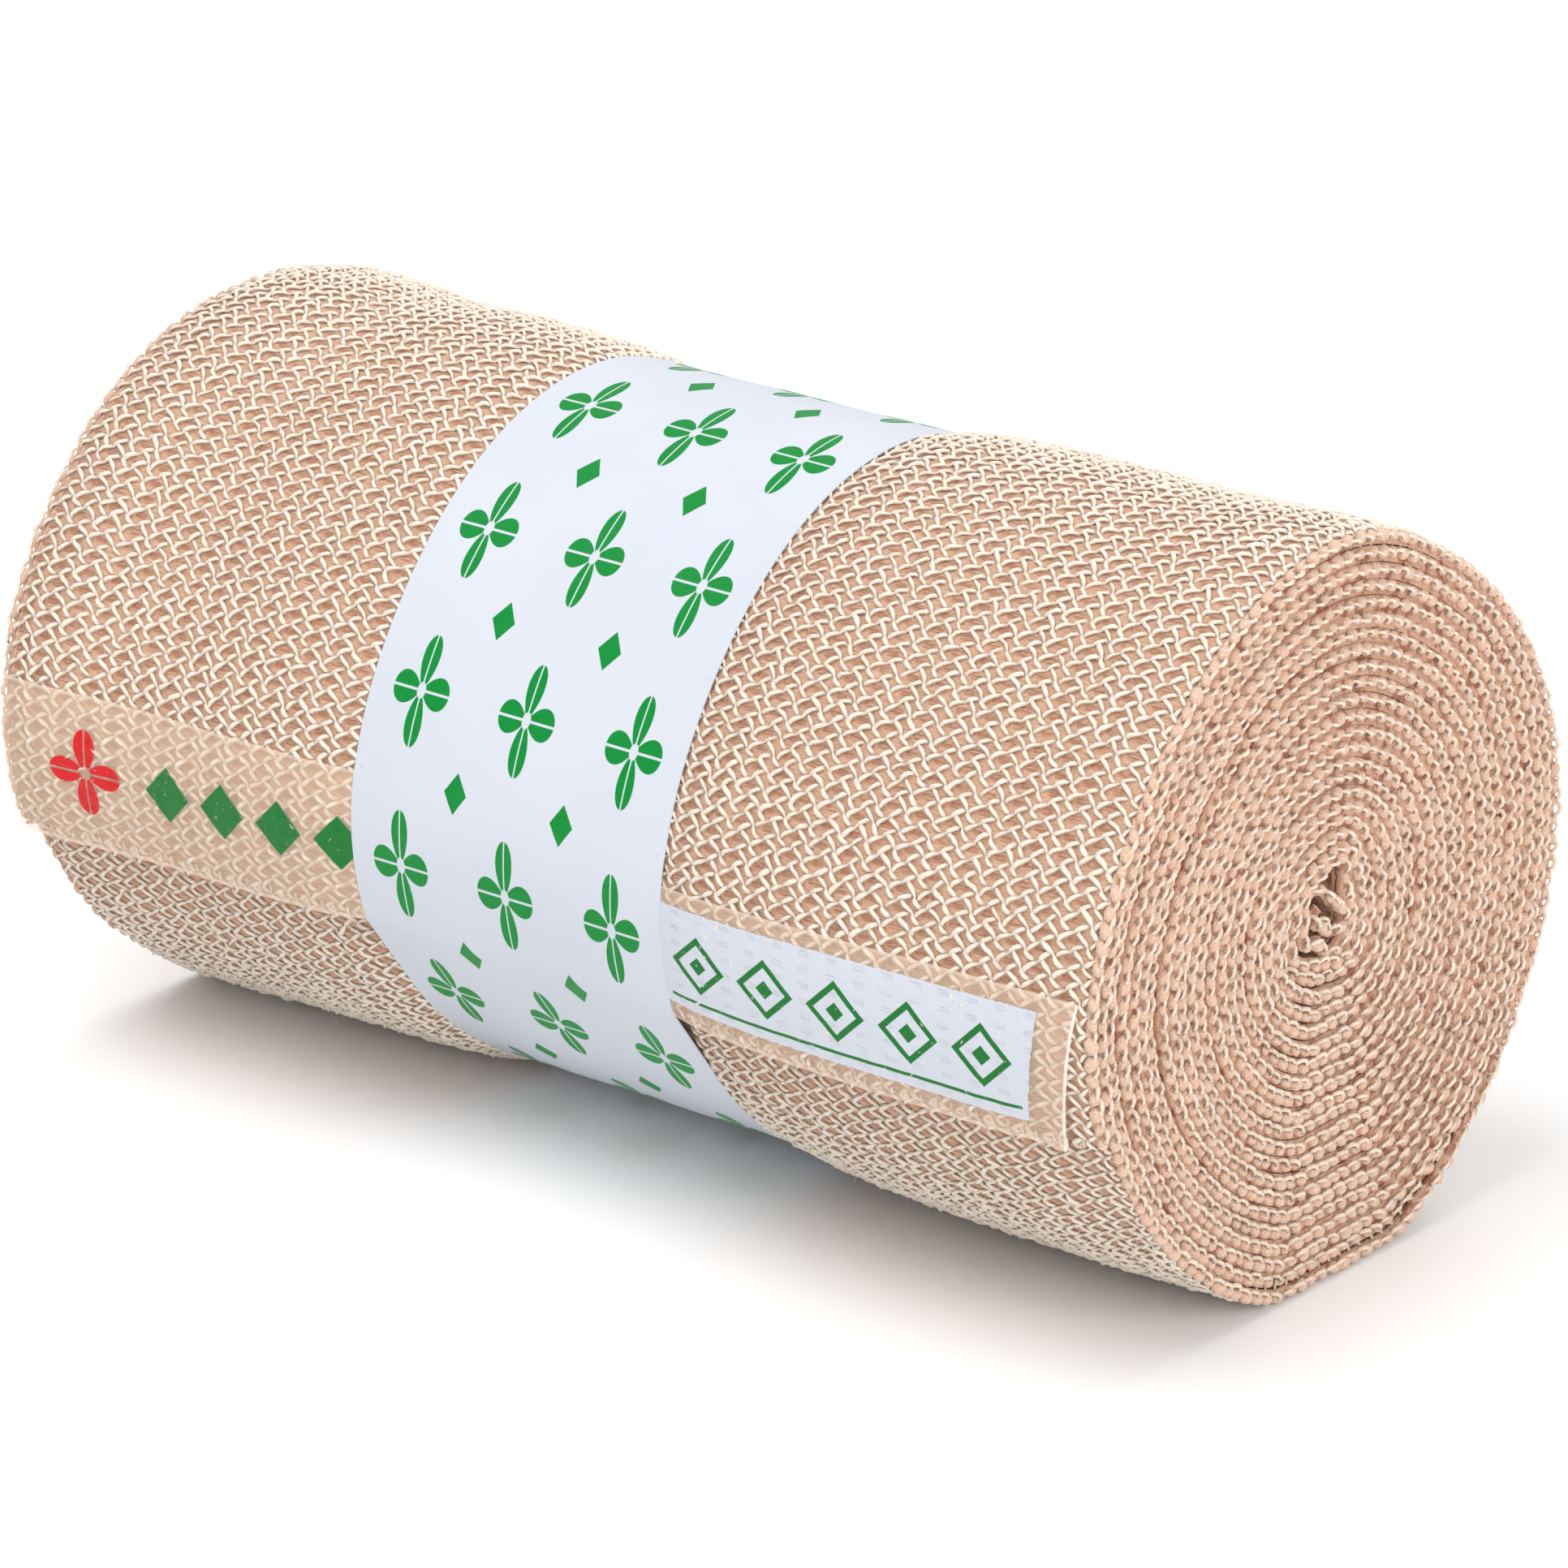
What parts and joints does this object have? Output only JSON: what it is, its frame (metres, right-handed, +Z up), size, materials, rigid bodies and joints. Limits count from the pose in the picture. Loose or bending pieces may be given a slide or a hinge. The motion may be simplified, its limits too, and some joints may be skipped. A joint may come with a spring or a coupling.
{
  "type": "compression bandage",
  "caption": "Rolled short-stretch compression bandage of thick crepe cloth, with a clear closing strip along its loose end and a printed paper band round its middle.",
  "frame": {"origin": "on the ground under the middle of the object's box", "axes": "+X along the roll's axis towards the end that the picture shows, +Z up, and -Y towards the side with the closing strip"},
  "size_m": [0.12, 0.0678, 0.066],
  "materials": {
    "bandage_cloth": "thick crepe weave, cream yarns over a skin-coloured ground",
    "closing_film": "clear film, slightly glossy",
    "band_paper": "thin coated white paper with a green print"
  },
  "bodies": {
    "root": {"bandage_roll": "bandage_cloth", "closing_strip": "closing_film", "paper_band": "band_paper"}
  },
  "joints": []
}
